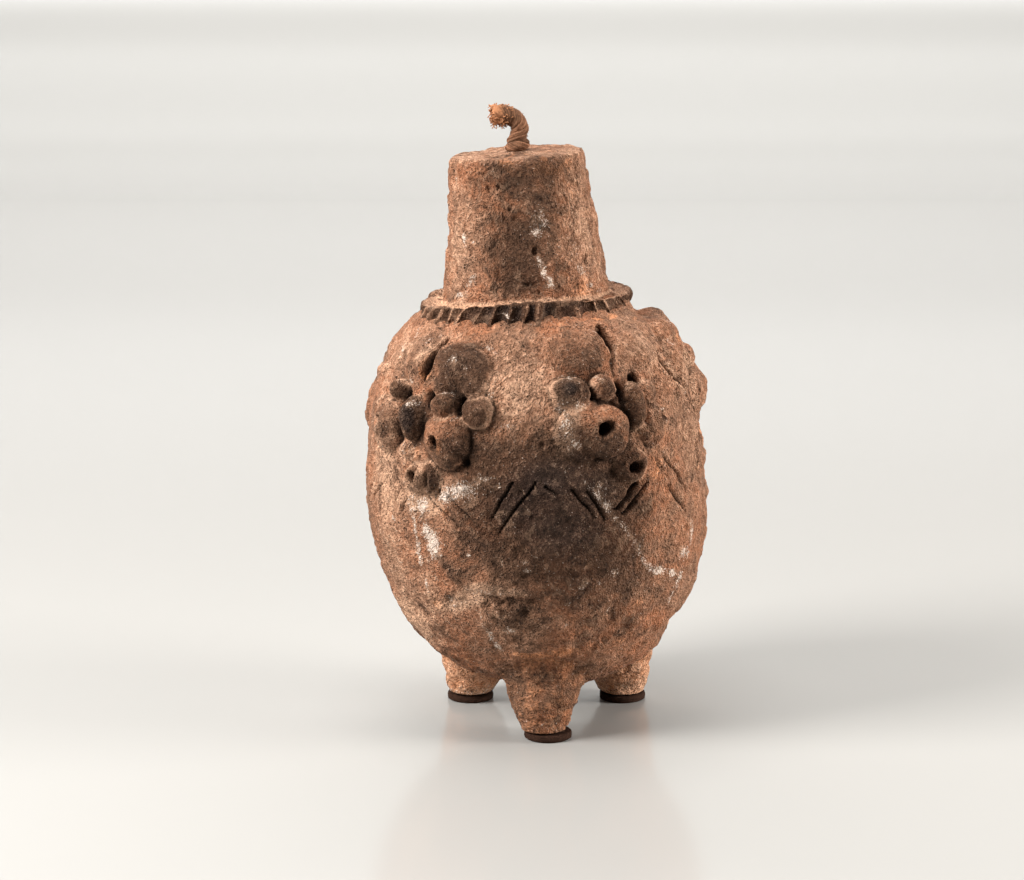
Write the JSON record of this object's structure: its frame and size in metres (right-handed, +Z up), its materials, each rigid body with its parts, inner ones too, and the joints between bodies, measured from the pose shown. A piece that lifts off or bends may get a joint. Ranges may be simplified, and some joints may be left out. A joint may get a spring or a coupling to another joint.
{
  "type": "terracotta oil lamp",
  "caption": "Hollow egg-shaped clay oil lamp on pointed feet, with clay masks and cut strokes round it, a notched collar, a closed neck and a wick that bends over at the top.",
  "frame": {"origin": "centre of the lamp's bounding box at table height, under the felt pads", "axes": "+Z up along the height, -Y towards the front foot and the viewer, +X to the viewer's right"},
  "size_m": [0.1072, 0.1084, 0.192],
  "materials": {
    "clay": "rough unglazed fired clay with soot, lime deposits and orange worn patches",
    "cotton": "twisted, oil-stained cotton",
    "felt": "near-black felt"
  },
  "bodies": {
    "root": {"jar": "clay", "wick": "cotton", "felt_pad_front": "felt", "felt_pad_right": "felt", "felt_pad_left": "felt"}
  },
  "joints": []
}
